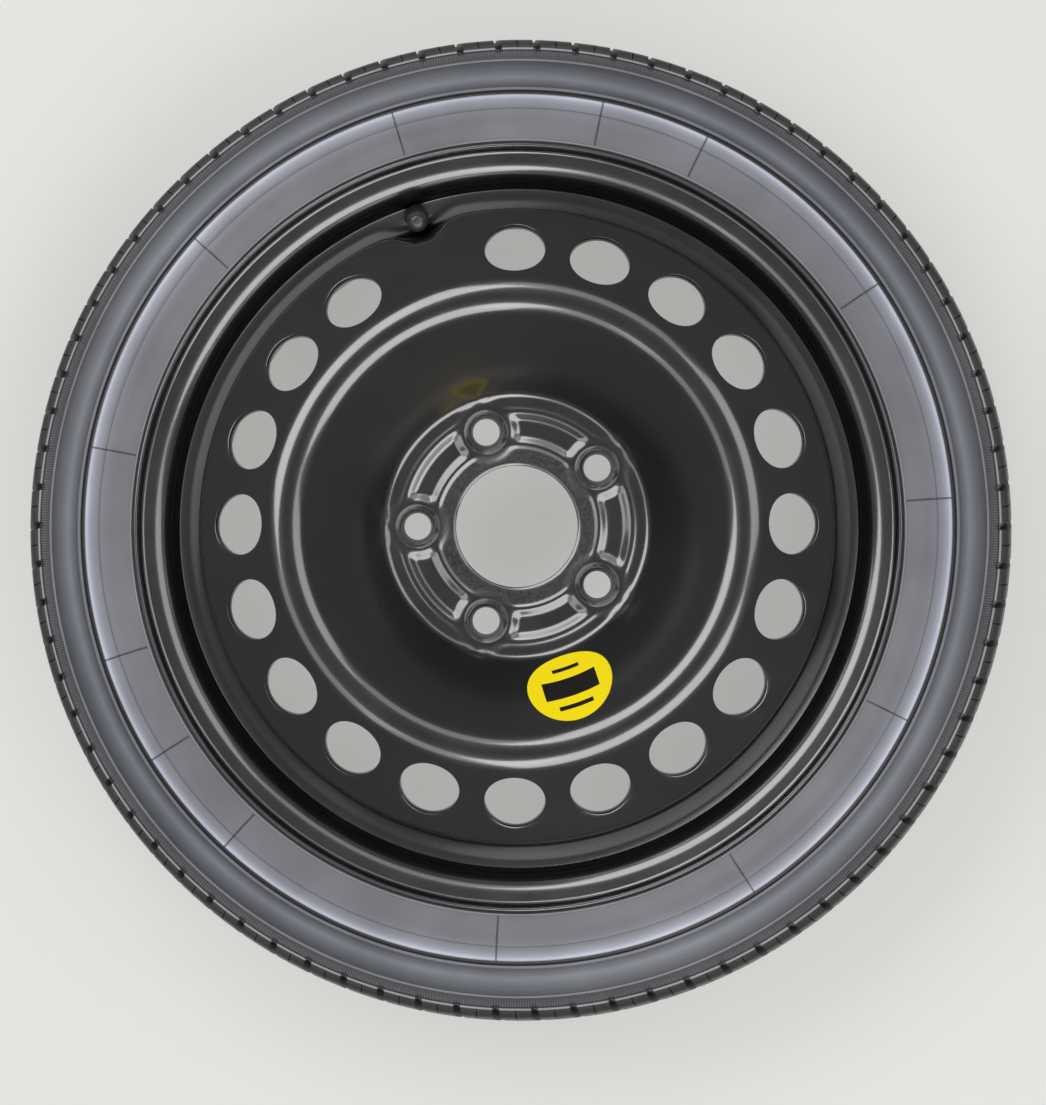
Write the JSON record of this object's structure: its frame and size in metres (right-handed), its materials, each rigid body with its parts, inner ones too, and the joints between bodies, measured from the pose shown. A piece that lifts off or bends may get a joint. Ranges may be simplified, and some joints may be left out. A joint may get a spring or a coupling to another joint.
{
  "type": "spare tire",
  "caption": "Narrow temporary-use tyre on a black pressed-steel wheel with a deep bolt bowl, a ring of round vents and a capped valve.",
  "frame": {"origin": "centre of the hub bore in the plane of the hub mounting face", "axes": "+Z along the wheel's axis towards the street side, +X and +Y across the wheel, the valve at 108 degrees from +X"},
  "size_m": [0.5812, 0.5812, 0.1516],
  "materials": {
    "tyre_rubber": "moulded rubber, satin",
    "black_paint": "gloss black paint on pressed steel",
    "valve_rubber": "moulded rubber",
    "valve_brass": "turned brass",
    "cap_plastic": "moulded plastic, satin",
    "label_vinyl": "printed vinyl sticker"
  },
  "bodies": {
    "wheel": {"tyre": "tyre_rubber", "rim": "black_paint", "disc": "black_paint", "weld_beads": "black_paint", "valve_stem": "valve_rubber", "valve_insert": "valve_brass", "core_body": "valve_brass", "speed_label": "label_vinyl"},
    "cap": {"valve_cap": "cap_plastic", "cap_seal": "valve_rubber"},
    "pin": {"core_pin": "valve_brass", "plunger_seal": "valve_rubber"}
  },
  "joints": [
    {"name": "cap_lift", "type": "slide", "parent": "wheel", "child": "cap", "axis": [0.0941, -0.2896, 0.9525], "range_m": [0, 0.02]},
    {"name": "pin_press", "type": "slide", "parent": "wheel", "child": "pin", "axis": [-0.0941, 0.2896, -0.9525], "range_m": [0, 0.001], "stiffness_N_per_m": 800, "springref_m": -0.001}
  ]
}
